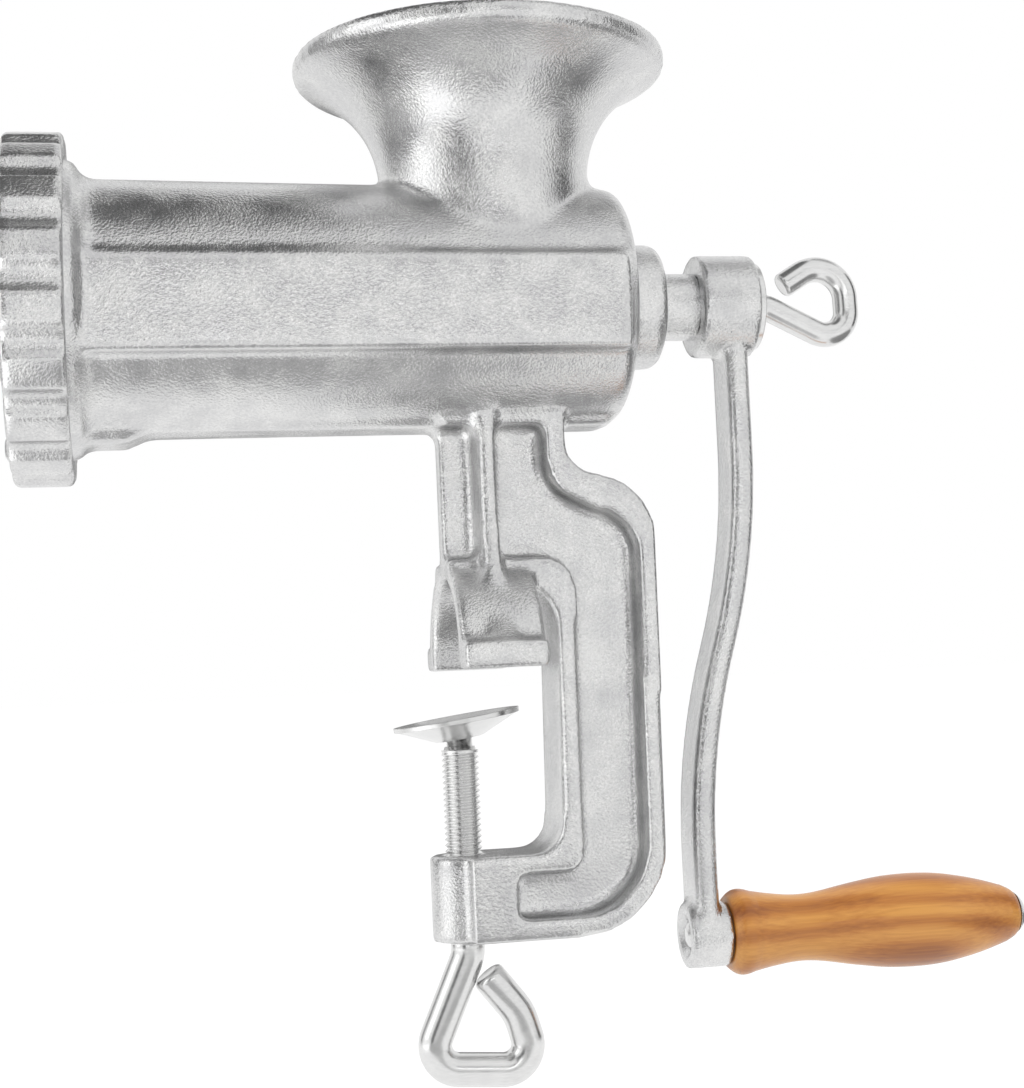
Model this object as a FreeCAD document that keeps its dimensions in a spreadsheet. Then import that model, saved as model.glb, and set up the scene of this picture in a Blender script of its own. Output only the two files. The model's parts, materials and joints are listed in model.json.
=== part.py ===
import FreeCAD, Part
import math
import os
import re

import Sketcher
from FreeCAD import Placement, Rotation, Vector

doc = FreeCAD.newDocument("meat_grinder")
sheet = doc.addObject("Spreadsheet::Sheet", "Sizes")

# Every size in millimetres. Lengths along the barrel are positions from the clamp screw's axis.
# A size that starts with an equals sign follows the sizes named in it.
SIZES = [
    ("axis_height", 98.0, "barrel axis above the table top"),
    ("bore_radius", 29.6, "bore round the feed screw"),
    ("barrel_front_wall", 4.6, "barrel wall behind the collar"),
    ("barrel_back_wall", 2.6, "barrel wall at the drive end"),
    ("barrel_front_radius", "=bore_radius + barrel_front_wall", "barrel radius behind the collar"),
    ("barrel_back_radius", "=bore_radius + barrel_back_wall", "barrel radius at the drive end"),
    ("barrel_front", -92.0, "where the collar runs out into the barrel"),
    ("barrel_back", 45.0, "where the drive end starts to round off"),
    ("end_face", 48.4, "flat of the drive end"),
    ("plate_radius", 35.0, "grinding plate radius"),
    ("seat_gap", 0.1, "radial clearance of the plate in its seat"),
    ("seat_radius", "=plate_radius + seat_gap", "seat of the plate"),
    ("spigot_wall", 4.3, "wall between the seat and the ring's thread"),
    ("spigot_radius", "=seat_radius + spigot_wall", "outside of the ring's thread"),
    ("spigot_front", -110.0, "mouth of the barrel"),
    ("collar_front", -98.2, "front of the collar"),
    ("collar_back", -96.0, "back of the collar"),
    ("collar_step", 1.0, "collar inside the ring's thread"),
    ("collar_radius", "=spigot_radius - collar_step", "collar radius"),
    ("seat_floor", -104.2, "shoulder that the plate sits on"),
    ("key_radius", 1.8, "pin that keys the plate"),
    ("key_gap", 0.15, "clearance of the plate's slot on its key"),
    ("bore_back", 36.0, "inside of the drive end wall"),
    ("boss_radius", 17.2, "bearing boss radius"),
    ("boss_end", 59.8, "end of the bearing boss"),
    ("shaft_radius", 9.25, "drive shaft radius"),
    ("shaft_gap", 0.06, "radial clearance of turning pieces"),
    ("hopper_at", 13.0, "hopper axis along the barrel"),
    ("hopper_neck_radius", 28.6, "outside of the hopper's neck"),
    ("hopper_rim_radius", 51.0, "outside of the hopper's rim"),
    ("hopper_top", 69.0, "hopper rim above the barrel axis"),
    ("hopper_wall", 4.0, "hopper wall"),
    ("flare_start", 36.0, "start of the flare above the axis"),
    ("flare_radius", 31.5, "radius of the flare"),
    ("lip_height", 4.6, "height of the rim's lip"),
    ("hopper_blend", 2.5, "blend of hopper and barrel"),
    ("band_top", 8.5, "upper edge of the side bands"),
    ("band_bottom", -16.5, "lower edge of the side bands"),
    ("band_step", 0.2, "side bands proud of the barrel"),
    ("band_reach", "=barrel_front_radius + band_step", "side bands from the barrel's middle plane"),
    ("keel_half", 9.0, "half width of the keel"),
    ("keel_step", 1.2, "keel below the barrel at the drive end"),
    ("keel_drop", "=barrel_back_radius + keel_step", "underside of the keel below the axis"),
    ("frame_half", 13.0, "half width of the clamp frame's flanges"),
    ("web_half", 4.0, "half thickness of the clamp frame's web"),
    ("flange", 5.4, "thickness of the clamp frame's flanges"),
    ("stem_left", -3.0, "front edge of the stem"),
    ("waist", 30.0, "back edge of the stem at its waist"),
    ("column_in", 26.0, "inner edge of the column"),
    ("column_out", 54.0, "outer edge of the column"),
    ("shoulder_gap", 11.6, "keel to the shoulder at the waist"),
    ("shoulder_in", "=axis_height - keel_drop - shoulder_gap", "shoulder of the clamp frame at the waist"),
    ("shoulder_fall", 6.0, "fall of the shoulder to the column"),
    ("shoulder_out", "=shoulder_in - shoulder_fall", "shoulder of the clamp frame at the column"),
    ("throat_top", 25.0, "throat of the clamp above the table top"),
    ("arm_top", -49.0, "lower arm below the table top"),
    ("arm_bottom", -71.5, "underside of the lower arm"),
    ("arch_back", 19.4, "back of the foot arch"),
    ("foot_reach", 34.0, "feet from the middle plane"),
    ("foot_inside", 22.0, "inner edge of the feet"),
    ("foot_height", 7.0, "height of the feet"),
    ("foot_ledge", 5.5, "foot outside the arch"),
    ("arch_radius", "=foot_reach - foot_ledge + 0.9", "outside of the foot arch"),
    ("rib_at", 8.2, "transverse rib along the barrel"),
    ("rib_thick", 5.0, "transverse rib thickness"),
    ("rib_half", 15.5, "half width of the rib under the barrel"),
    ("rib_top", 46.0, "where the rib starts to flare, above the table top"),
    ("rib_flare", 46.0, "radius of the rib's flare"),
    ("rib_root", 2.4, "blend of the rib and the web"),
    ("nut_radius", 9.2, "boss round the clamp screw"),
    ("screw_radius", 5.0, "clamp screw over its thread"),
    ("screw_gap", 0.08, "radial clearance of the screws"),
    ("neck_radius", 3.4, "clamp screw inside the pad"),
    ("rod_radius", 4.5, "clamp screw's handle rod"),
    ("pad_radius", 17.0, "pressure pad radius"),
    ("pad_at", -17.2, "pressure pad below the table top"),
    ("pad_tilt", 8.0, "lean of the loose pad in degrees"),
    ("ring_wall", 6.6, "ring nut outside its thread"),
    ("ring_radius", "=spigot_radius + ring_wall", "ring nut over its lobes"),
    ("ring_front", -114.0, "front of the ring nut"),
    ("ring_back", -98.4, "back of the ring nut"),
    ("mouth_step", 4.0, "lip of the ring nut over the plate"),
    ("ring_mouth", "=plate_radius - mouth_step", "outlet in the ring nut"),
    ("lobe_count", 18, "lobes of the ring nut"),
    ("lobe_groove", 4.8, "radius of the grooves between the lobes"),
    ("lobe_depth", 2.2, "depth of the grooves between the lobes"),
    ("plate_front", -111.2, "front of the grinding plate"),
    ("plate_hole", 2.3, "radius of the plate's holes"),
    ("hole_first", 10.5, "inner circle of the plate's holes"),
    ("hole_edge", 6.0, "outer circle of the plate's holes inside its edge"),
    ("screw_front", -96.4, "front of the feed screw"),
    ("screw_back", 34.4, "thrust shoulder of the feed screw"),
    ("core_radius", 11.5, "feed screw core"),
    ("flight_gap", 0.7, "flight to bore"),
    ("flight_radius", "=bore_radius - flight_gap", "feed screw over its flight"),
    ("flight_pitch", 33.0, "pitch of the flight"),
    ("flight_clear", 20.25, "feed screw left bare of the flight"),
    ("knife_gap", 2.1, "knife to bore"),
    ("knife_span", "=bore_radius - knife_gap", "reach of the knife's blades"),
    ("stud_square", 9.0, "square of the knife stud"),
    ("stud_shank", 5.0, "radius of the knife stud in the feed screw"),
    ("hub_front", 70.5, "front of the crank hub"),
    ("hub_back", 87.0, "back of the crank hub"),
    ("hub_radius", 14.2, "crank hub radius"),
    ("drive_square", 13.0, "square on the drive shaft"),
    ("crank_radius", 172.5, "crank axis to grip axis"),
    ("arm_at_top", 81.0, "arm under the hub"),
    ("arm_at_bottom", 64.8, "arm at the grip"),
    ("arm_thick", 6.6, "arm thickness"),
    ("arm_half", 8.0, "half width of the arm"),
    ("eye_radius", 8.9, "crank boss at the grip"),
    ("pin_radius", 3.9, "grip pin radius"),
    ("grip_front", 71.6, "front of the grip"),
    ("grip_back", 155.4, "back of the grip"),
    ("belly_radius", 12.75, "grip at its fullest"),
    ("bead_radius", 11.6, "grip's front bead"),
    ("thumb_radius", 3.0, "thumb screw rod"),
    ("washer_radius", 12.0, "crank washer radius"),
]
for row, (alias, value, note) in enumerate(SIZES, 1):
    sheet.set("A%d" % row, note)
    sheet.set("B%d" % row, str(value))
    sheet.setAlias("B%d" % row, alias)
doc.recompute()
ALIASES = set(alias for alias, value, note in SIZES)


def bound(text):
    """The expression with each size written as a cell of the sheet."""
    def cell(match):
        word = match.group(0)
        return "Sizes." + word if word in ALIASES else word
    return re.sub(r"[a-z_]+", cell, str(text))


def number(text):
    """The expression's value in millimetres."""
    value = sheet.evalExpression(bound(text))
    return float(getattr(value, "Value", value))


def new_body(label, raised="axis_height"):
    """An empty body at the given height, with its own label and placement."""
    body = doc.addObject("PartDesign::Body", label)
    body.Label = label
    body.Placement = Placement(Vector(0, 0, number(raised)), Rotation())
    body.setExpression(".Placement.Base.z", bound(raised))
    return body


def plane_of(body, role):
    """The body's own origin plane of that role."""
    return [f for f in body.Origin.OriginFeatures if f.Role == role + "_Plane"][0]


def new_sketch(body, role, offset="0"):
    """A sketch on an origin plane, moved along its normal by an expression."""
    sketch = body.newObject("Sketcher::SketchObject", body.Name + "_sketch")
    sketch.AttachmentSupport = [(plane_of(body, role), "")]
    sketch.MapMode = "FlatFace"
    sketch.AttachmentOffset = Placement(Vector(0, 0, number(offset)), Rotation())
    sketch.setExpression(".AttachmentOffset.Base.z", bound(offset))
    return sketch


def hold(sketch, kind, places, text):
    """A dimension bound to an expression."""
    index = sketch.addConstraint(Sketcher.Constraint(kind, *places, number(text)))
    sketch.setExpression("Constraints[%d]" % index, bound(text))


def outline(sketch, corners):
    """A closed outline. A corner is two expressions, and a third gives the arc to the next corner a radius.

    A positive radius keeps the arc's centre on the left of the way to the next corner.
    """
    spots = [Vector(number(c[0]), number(c[1]), 0) for c in corners]
    count = len(corners)
    ends = []
    for i, corner in enumerate(corners):
        a, b = spots[i], spots[(i + 1) % count]
        if len(corner) < 3:
            ends.append((sketch.addGeometry(Part.LineSegment(a, b), False), 1, 2))
            continue
        radius = number(corner[2])
        chord = b - a
        left = Vector(-chord.y, chord.x, 0).normalize()
        rise = math.sqrt(max(radius * radius - chord.Length ** 2 / 4, 0))
        centre = (a + b) * 0.5 + left * math.copysign(rise, radius)
        first, last = (a, b) if radius > 0 else (b, a)
        start = math.atan2(first.y - centre.y, first.x - centre.x)
        stop = math.atan2(last.y - centre.y, last.x - centre.x)
        whole = Part.Circle(centre, Vector(0, 0, 1), abs(radius))
        curve = sketch.addGeometry(Part.ArcOfCircle(whole, start, stop), False)
        ends.append((curve, 1, 2) if radius > 0 else (curve, 2, 1))
    for i in range(count):
        here, then = ends[i], ends[(i + 1) % count]
        sketch.addConstraint(Sketcher.Constraint("Coincident", here[0], here[2], then[0], then[1]))
    for i, corner in enumerate(corners):
        hold(sketch, "DistanceX", (-1, 1, ends[i][0], ends[i][1]), corner[0])
        hold(sketch, "DistanceY", (-1, 1, ends[i][0], ends[i][1]), corner[1])
        if len(corner) == 3:
            hold(sketch, "Radius", (ends[i][0],), "abs(%s)" % corner[2])
    return sketch


def circle(sketch, x, y, radius):
    """A circle bound to three expressions."""
    spot = Vector(number(x), number(y), 0)
    curve = sketch.addGeometry(Part.Circle(spot, Vector(0, 0, 1), number(radius)), False)
    hold(sketch, "DistanceX", (-1, 1, curve, 3), x)
    hold(sketch, "DistanceY", (-1, 1, curve, 3), y)
    hold(sketch, "Radius", (curve,), radius)
    return sketch


def rectangle(sketch, left, low, right, high):
    """A rectangle bound to four expressions."""
    return outline(sketch, [(left, low), (right, low), (right, high), (left, high)])


def centred_square(sketch, half):
    """A square round the sketch's origin, bound to one expression."""
    return rectangle(sketch, "-(%s)" % half, "-(%s)" % half, half, half)


def turning_line(sketch, start, end):
    """A construction line between two pairs of expressions, for turning a sketch round."""
    spots = [Vector(number(x), number(y), 0) for x, y in (start, end)]
    line = sketch.addGeometry(Part.LineSegment(*spots), True)
    for place, (x, y) in enumerate((start, end), 1):
        hold(sketch, "DistanceX", (-1, 1, line, place), x)
        hold(sketch, "DistanceY", (-1, 1, line, place), y)
    return "Axis0"


def settle(body, feature):
    """Recompute, and stop at the first feature that did not come out."""
    body.Tip = feature
    doc.recompute()
    if "Invalid" in feature.State or "Error" in feature.State or feature.Shape.isNull():
        raise RuntimeError("%s of %s did not come out" % (feature.Name, body.Label))
    return feature


def pad(body, sketch, length, both=False):
    """Material from a sketch, along its normal or to both sides of it."""
    feature = body.newObject("PartDesign::Pad", body.Name + "_pad")
    feature.Profile = sketch
    feature.Length = number(length)
    feature.setExpression("Length", bound(length))
    if both:
        feature.SideType = "Symmetric"
    return settle(body, feature)


def pocket(body, sketch, length, both=False, flip=False):
    """A cut from a sketch, against its normal, along it, or to both sides of it."""
    before = body.Shape.Volume
    feature = body.newObject("PartDesign::Pocket", body.Name + "_pocket")
    feature.Profile = sketch
    feature.Length = number(length)
    feature.setExpression("Length", bound(length))
    feature.Reversed = flip
    if both:
        feature.SideType = "Symmetric"
    settle(body, feature)
    if body.Shape.Volume > before - 0.5:
        raise RuntimeError("a cut in %s takes nothing away" % body.Label)
    return feature


def turn(body, sketch, axis="H_Axis", cut=False):
    """A full turn of a sketch round one of its axes, as material or as a cut."""
    kind = "PartDesign::Groove" if cut else "PartDesign::Revolution"
    feature = body.newObject(kind, body.Name + "_turn")
    feature.Profile = sketch
    feature.ReferenceAxis = (sketch, [axis])
    feature.Angle = 360
    return settle(body, feature)


def pattern(body, features, sketch, count):
    """Copies of features round the normal of a sketch through its origin."""
    feature = body.newObject("PartDesign::PolarPattern", body.Name + "_pattern")
    feature.Originals = features
    feature.Axis = (sketch, ["N_Axis"])
    feature.Angle = 360
    feature.Occurrences = int(number(count))
    feature.setExpression("Occurrences", bound(count))
    return settle(body, feature)


def pick(body, test):
    """Names of the body's edges whose middle point, in the body's own frame, passes the test."""
    names = []
    for i, edge in enumerate(body.Tip.Shape.Edges, 1):
        middle = edge.valueAt((edge.FirstParameter + edge.LastParameter) / 2)
        if test(edge, middle):
            names.append("Edge%d" % i)
    return names


def soften(body, names, radius):
    """A fillet of named edges."""
    base = body.Tip
    feature = body.newObject("PartDesign::Fillet", body.Name + "_fillet")
    feature.Base = (base, names)
    feature.Radius = number(radius)
    feature.setExpression("Radius", bound(radius))
    return settle(body, feature)


def along_y(edge):
    """Is the edge straight and square to the middle plane?"""
    if not isinstance(edge.Curve, Part.Line):
        return False
    return abs(abs(edge.Curve.Direction.y) - 1) < 1e-6


def rod_path(body, corners, bends):
    """A path in the middle plane, bent to a radius at each inner corner."""
    spots = [Vector(number(x), number(z), 0) for x, z in corners]
    path = new_sketch(body, "XZ")
    start = spots[0]
    for i in range(1, len(spots) - 1):
        into = (spots[i] - spots[i - 1]).normalize()
        out = (spots[i + 1] - spots[i]).normalize()
        half = into.getAngle(out) / 2
        bend = number(bends[i - 1])
        reach = bend * math.tan(half)
        a = spots[i] - into * reach
        b = spots[i] + out * reach
        inward = (out - into).normalize()
        centre = spots[i] + inward * (bend / math.cos(half))
        first, last = (a, b) if into.x * out.y - into.y * out.x > 0 else (b, a)
        begin = math.atan2(first.y - centre.y, first.x - centre.x)
        finish = math.atan2(last.y - centre.y, last.x - centre.x)
        whole = Part.Circle(centre, Vector(0, 0, 1), bend)
        path.addGeometry(Part.LineSegment(start, a), False)
        path.addGeometry(Part.ArcOfCircle(whole, begin, finish), False)
        start = b
    path.addGeometry(Part.LineSegment(start, spots[-1]), False)
    for i in range(path.GeometryCount):
        path.addConstraint(Sketcher.Constraint("Block", i))
    return path


# One casting: barrel, hopper, clamp frame, feet and the boss of the clamp screw.
body = new_body("body_casting")
barrel = outline(new_sketch(body, "XZ"), [
    ("spigot_front", "0"),
    ("boss_end", "0"),
    ("boss_end", "boss_radius - 1.6"),
    ("boss_end - 1.6", "boss_radius"),
    ("end_face + 2", "boss_radius", "-1.8"),
    ("end_face + 0.6", "boss_radius + 1.5"),
    ("end_face", "barrel_back_radius - 5", "5.2"),
    ("barrel_back", "barrel_back_radius"),
    ("barrel_front", "barrel_front_radius", "-4.5"),
    ("collar_back", "collar_radius"),
    ("collar_front", "collar_radius"),
    ("collar_front", "spigot_radius"),
    ("spigot_front", "spigot_radius"),
])
turn(body, barrel)
hopper = new_sketch(body, "XZ")
outline(hopper, [
    ("hopper_at", "4"),
    ("hopper_at + hopper_neck_radius", "4"),
    ("hopper_at + hopper_neck_radius", "flare_start", "-flare_radius"),
    ("hopper_at + hopper_rim_radius - 1.4", "hopper_top - lip_height - 1.2"),
    ("hopper_at + hopper_rim_radius", "hopper_top - lip_height"),
    ("hopper_at + hopper_rim_radius", "hopper_top - 1.5", "1.5"),
    ("hopper_at + hopper_rim_radius - 1.5", "hopper_top"),
    ("hopper_at", "hopper_top"),
])
turn(body, hopper, turning_line(hopper, ("hopper_at", "1"), ("hopper_at", "hopper_top")))


def on_neck(edge, spot):
    """Does the edge run where the hopper's neck meets the barrel?"""
    if isinstance(edge.Curve, Part.Line):
        return False
    away = math.hypot(spot.x - number("hopper_at"), spot.y)
    return abs(away - number("hopper_neck_radius")) < 0.3 and 4 < spot.z < number("flare_start") - 0.5


soften(body, pick(body, on_neck), "hopper_blend")

# Flat side bands, keel and front foot of the barrel.
sides = new_sketch(body, "YZ", "collar_back - 1")
rectangle(sides, "-band_reach", "band_bottom", "band_reach", "band_top")
pad(body, sides, "barrel_back - collar_back + 1")
keel = new_sketch(body, "YZ", "collar_back - 1")
rectangle(keel, "-keel_half", "-keel_drop", "keel_half", "-20")
pad(body, keel, "barrel_back - collar_back")
front = outline(new_sketch(body, "XZ"), [
    ("collar_back - 1", "-20"),
    ("collar_back - 1", "-keel_drop - 2.6"),
    ("collar_back + 11", "-keel_drop - 2.6"),
    ("collar_back + 17", "-keel_drop"),
    ("collar_back + 17", "-20"),
])
pad(body, front, "2 * keel_half + 2", both=True)

# Clamp frame: one outline at full width, cut back on both sides to the web.
frame = outline(new_sketch(body, "XZ"), [
    ("stem_left", "-15"),
    ("stem_left", "throat_top - axis_height - 2"),
    ("column_in", "throat_top - axis_height - 2"),
    ("column_in - 1.5", "arm_top - axis_height"),
    ("0", "arm_top - axis_height"),
    ("0", "arm_bottom - axis_height"),
    ("column_out - 1.5", "arm_bottom - axis_height"),
    ("column_out", "shoulder_out - axis_height"),
    ("waist", "shoulder_in - axis_height"),
    ("waist", "-15"),
])
pad(body, frame, "2 * frame_half", both=True)


def corner(x, z):
    """A test for the straight edge through the frame at that place."""
    def test(edge, spot):
        return along_y(edge) and math.hypot(spot.x - number(x), spot.z - number(z)) < 0.6
    return test


soften(body, pick(body, corner("column_in", "throat_top - axis_height - 2")), "13")
soften(body, pick(body, corner("column_in - 1.5", "arm_top - axis_height")), "8")
soften(body, pick(body, corner("column_out - 1.5", "arm_bottom - axis_height")), "24")
soften(body, pick(body, corner("column_out", "shoulder_out - axis_height")), "17")
soften(body, pick(body, corner("waist", "shoulder_in - axis_height")), "9")
RECESS = [
    ("stem_left - 1", "-keel_drop"),
    ("stem_left - 1", "throat_top - axis_height + 4"),
    ("column_in + flange", "throat_top - axis_height + 4"),
    ("column_in - 1 + flange", "arm_top - axis_height - flange"),
    ("nut_radius + 3", "arm_top - axis_height - flange"),
    ("nut_radius + 3", "arm_bottom - axis_height + flange"),
    ("column_out - 25.5", "arm_bottom - axis_height + flange", "18.8"),
    ("column_out - 1.2 - flange", "arm_bottom - axis_height + 24"),
    ("column_out - flange", "shoulder_out - axis_height - 18", "12.5"),
    ("column_out - flange - 11.5", "shoulder_out - axis_height - flange"),
    ("waist - flange", "shoulder_in + 0.5 - axis_height - flange"),
    ("waist - flange", "-keel_drop"),
]
recess = outline(new_sketch(body, "XZ", "web_half"), RECESS)
pocket(body, recess, "frame_half", flip=True)
pocket(body, outline(new_sketch(body, "XZ", "-web_half"), RECESS), "frame_half")


def recessed(x, z):
    """A test for the recess's straight edges on both sides of the web."""
    def test(edge, spot):
        away = math.hypot(spot.x - number(x), spot.z - number(z))
        return along_y(edge) and away < 0.6 and abs(spot.y) > number("web_half")
    return test


soften(body, pick(body, recessed("column_in + flange", "throat_top - axis_height + 4")), "9")
soften(body, pick(body, recessed("column_in - 1 + flange", "arm_top - axis_height - flange")), "5")
soften(body, pick(body, recessed("waist - flange", "shoulder_in + 0.5 - axis_height - flange")), "12")

# Foot arch and transverse rib, both across the stem.
arch = outline(new_sketch(body, "YZ", "stem_left"), [
    ("-foot_reach", "-axis_height"),
    ("foot_reach", "-axis_height"),
    ("foot_reach", "foot_height - axis_height"),
    ("foot_reach - foot_ledge", "foot_height - axis_height", "arch_radius"),
    ("foot_ledge - foot_reach", "foot_height - axis_height"),
    ("-foot_reach", "foot_height - axis_height"),
])
pad(body, arch, "arch_back - stem_left")
rib = outline(new_sketch(body, "YZ", "rib_at - rib_thick / 2"), [
    ("foot_ledge - foot_reach", "1 - axis_height"),
    ("foot_reach - foot_ledge", "1 - axis_height"),
    ("foot_reach - 1.5", "foot_height - axis_height", "-rib_flare"),
    ("rib_half", "rib_top - axis_height"),
    ("rib_half", "-22"),
    ("-rib_half", "-22"),
    ("-rib_half", "rib_top - axis_height", "-rib_flare"),
    ("1.5 - foot_reach", "foot_height - axis_height"),
])
pad(body, rib, "rib_thick")


def rib_root(edge, spot):
    """Does the edge run down the web where the rib stands on it?"""
    side = abs(abs(spot.x - number("rib_at")) - number("rib_thick") / 2)
    return side < 0.01 and abs(abs(spot.y) - number("web_half")) < 0.01


soften(body, pick(body, rib_root), "rib_root")
opening = outline(new_sketch(body, "YZ", "stem_left - 1"), [
    ("-foot_inside", "-1 - axis_height"),
    ("foot_inside", "-1 - axis_height"),
    ("foot_inside", "3 - axis_height", "foot_inside + 0.02"),
    ("-foot_inside", "3 - axis_height"),
])
pocket(body, opening, "arch_back - stem_left + 2", flip=True)

# Boss of the clamp screw.
boss = circle(new_sketch(body, "XY", "arm_bottom - axis_height - 0.3"), "0", "0", "nut_radius")
pad(body, boss, "arm_top - arm_bottom + 0.6")

# Inside of the barrel, plate seat, bearing, hopper and screw hole.
bore = outline(new_sketch(body, "XZ"), [
    ("spigot_front - 1", "0"),
    ("boss_end + 1", "0"),
    ("boss_end + 1", "shaft_radius + shaft_gap"),
    ("bore_back", "shaft_radius + shaft_gap"),
    ("bore_back", "bore_radius"),
    ("seat_floor", "bore_radius"),
    ("seat_floor", "seat_radius"),
    ("spigot_front - 1", "seat_radius"),
])
turn(body, bore, cut=True)
funnel = new_sketch(body, "XZ")
outline(funnel, [
    ("hopper_at", "6"),
    ("hopper_at + hopper_neck_radius - hopper_wall", "6"),
    ("hopper_at + hopper_neck_radius - hopper_wall", "flare_start", "-flare_radius - hopper_wall"),
    ("hopper_at + hopper_rim_radius - hopper_wall - 1", "hopper_top - 3"),
    ("hopper_at + hopper_rim_radius - hopper_wall + 0.6", "hopper_top + 1"),
    ("hopper_at", "hopper_top + 1"),
])
turn(body, funnel, turning_line(funnel, ("hopper_at", "1"), ("hopper_at", "hopper_top")), cut=True)
hole = circle(new_sketch(body, "XY", "arm_top - axis_height + 1"), "0", "0", "screw_radius + screw_gap")
pocket(body, hole, "arm_top - arm_bottom + 3")
notch = new_sketch(body, "XY", "seat_radius - 4")
circle(notch, "(spigot_front + seat_floor) / 2", "0", "key_radius")
pocket(body, notch, "6.4", flip=True)

key = new_body("plate_key")
stub = new_sketch(key, "XY", "seat_radius - 2.6")
circle(stub, "(spigot_front + seat_floor) / 2", "0", "key_radius")
pad(key, stub, "5")

ring = new_body("ring_nut")
turn(ring, outline(new_sketch(ring, "XZ"), [
    ("ring_front", "ring_mouth"),
    ("plate_front", "ring_mouth"),
    ("plate_front", "spigot_radius + screw_gap"),
    ("ring_back", "spigot_radius + screw_gap"),
    ("ring_back", "ring_radius - 0.8"),
    ("ring_back - 0.8", "ring_radius"),
    ("ring_front + 1.6", "ring_radius", "1.6"),
    ("ring_front", "ring_radius - 1.6"),
]))
groove = "(ring_radius + lobe_groove - lobe_depth)"
scallop = new_sketch(ring, "YZ", "ring_front - 1")
circle(scallop, groove + " * sin(180 / lobe_count)", groove + " * cos(180 / lobe_count)", "lobe_groove")
first = pocket(ring, scallop, "ring_back - ring_front + 2", flip=True)
pattern(ring, [first], scallop, "lobe_count")
lug = outline(new_sketch(ring, "YZ", "ring_front - 1.8"), [
    ("-5", "ring_mouth + 2.5"),
    ("5", "ring_mouth + 2.5"),
    ("4", "ring_mouth + 8"),
    ("-4", "ring_mouth + 8"),
])
first = pad(ring, lug, "2.2")
pattern(ring, [first], lug, "lobe_count / 3")

plate = new_body("grinding_plate")
disc = circle(new_sketch(plate, "YZ", "plate_front"), "0", "0", "plate_radius")
pad(plate, disc, "seat_floor - plate_front")
centre = circle(new_sketch(plate, "YZ", "plate_front - 1"), "0", "0", "stud_square / 2 + shaft_gap")
pocket(plate, centre, "seat_floor - plate_front + 2", flip=True)
for step, count in enumerate(("8", "14", "20", "24")):
    reach = "hole_first + %d * (plate_radius - hole_edge - hole_first) / 3" % step
    one = circle(new_sketch(plate, "YZ", "plate_front - 1"), "0", reach, "plate_hole")
    first = pocket(plate, one, "seat_floor - plate_front + 2", flip=True)
    pattern(plate, [first], one, count)
slot = new_sketch(plate, "YZ", "plate_front - 1")
rectangle(slot, "-key_radius - key_gap", "seat_radius - 2.8", "key_radius + key_gap", "plate_radius + 1")
pocket(plate, slot, "seat_floor - plate_front + 2", flip=True)

knife = new_body("cross_knife")
pad(knife, circle(new_sketch(knife, "YZ", "seat_floor + 0.25"), "0", "0", "9"), "7.4")
blade = outline(new_sketch(knife, "XZ", "-3.4"), [
    ("seat_floor + 0.25", "4"),
    ("seat_floor + 0.25", "knife_span"),
    ("seat_floor + 4.2", "knife_span"),
    ("seat_floor + 7.2", "4"),
])
first = pad(knife, blade, "6.8")
face = circle(new_sketch(knife, "YZ", "seat_floor"), "0", "0", "3")
pattern(knife, [first], face, "4")
relief = outline(new_sketch(knife, "XY", "9"), [
    ("seat_floor + 1.6", "1.6"),
    ("seat_floor + 8.5", "-4.4"),
    ("seat_floor + 8.5", "4.4"),
    ("seat_floor + 1.6", "4.4"),
])
first = pocket(knife, relief, "knife_span", flip=True)
pattern(knife, [first], face, "4")
socket = centred_square(new_sketch(knife, "YZ", "seat_floor - 1"), "stud_square / 2 + screw_gap")
pocket(knife, socket, "12", flip=True)

stud = new_body("knife_stud")
nose = circle(new_sketch(stud, "YZ", "plate_front + 0.6"), "0", "0", "stud_square / 2")
pad(stud, nose, "seat_floor - plate_front")
square = centred_square(new_sketch(stud, "YZ", "seat_floor + 0.2"), "stud_square / 2")
pad(stud, square, "screw_front - seat_floor - 0.25")
shank = circle(new_sketch(stud, "YZ", "screw_front - 0.1"), "0", "0", "stud_shank")
pad(stud, shank, "16.1")

# Feed screw: core, shaft, drive square and the helical flight.
feed = new_body("feed_screw")
turn(feed, outline(new_sketch(feed, "XZ"), [
    ("screw_front", "0"),
    ("hub_back - 1.5", "0"),
    ("hub_back - 1.5", "drive_square / 2 - 1"),
    ("hub_front", "drive_square / 2 - 1"),
    ("hub_front", "shaft_radius"),
    ("screw_back", "shaft_radius"),
    ("screw_back", "core_radius + 6"),
    ("screw_back - 5", "core_radius + 6"),
    ("screw_back - 12", "core_radius + 2"),
    ("screw_front + 14", "core_radius"),
    ("screw_front + 5", "core_radius + 1.2"),
    ("screw_front", "core_radius + 1.2"),
]))
square = centred_square(new_sketch(feed, "YZ", "hub_front - 0.5"), "drive_square / 2")
pad(feed, square, "hub_back - hub_front - 1")
thread = outline(new_sketch(feed, "XZ"), [
    ("screw_front + 2.2", "core_radius - 3"),
    ("screw_front + 9.2", "core_radius - 3"),
    ("screw_front + 7.6", "flight_radius"),
    ("screw_front + 3.8", "flight_radius"),
])
flight = feed.newObject("PartDesign::AdditiveHelix", "feed_flight")
flight.Profile = thread
flight.ReferenceAxis = (thread, ["H_Axis"])
flight.Mode = 0
flight.Pitch = number("flight_pitch")
flight.setExpression("Pitch", bound("flight_pitch"))
flight.Height = number("screw_back - screw_front - flight_clear")
flight.setExpression("Height", bound("screw_back - screw_front - flight_clear"))
settle(feed, flight)
hole = circle(new_sketch(feed, "YZ", "hub_back"), "0", "0", "thumb_radius + screw_gap")
pocket(feed, hole, "20")
hole = circle(new_sketch(feed, "YZ", "screw_front - 1"), "0", "0", "stud_shank")
pocket(feed, hole, "17", flip=True)

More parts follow.
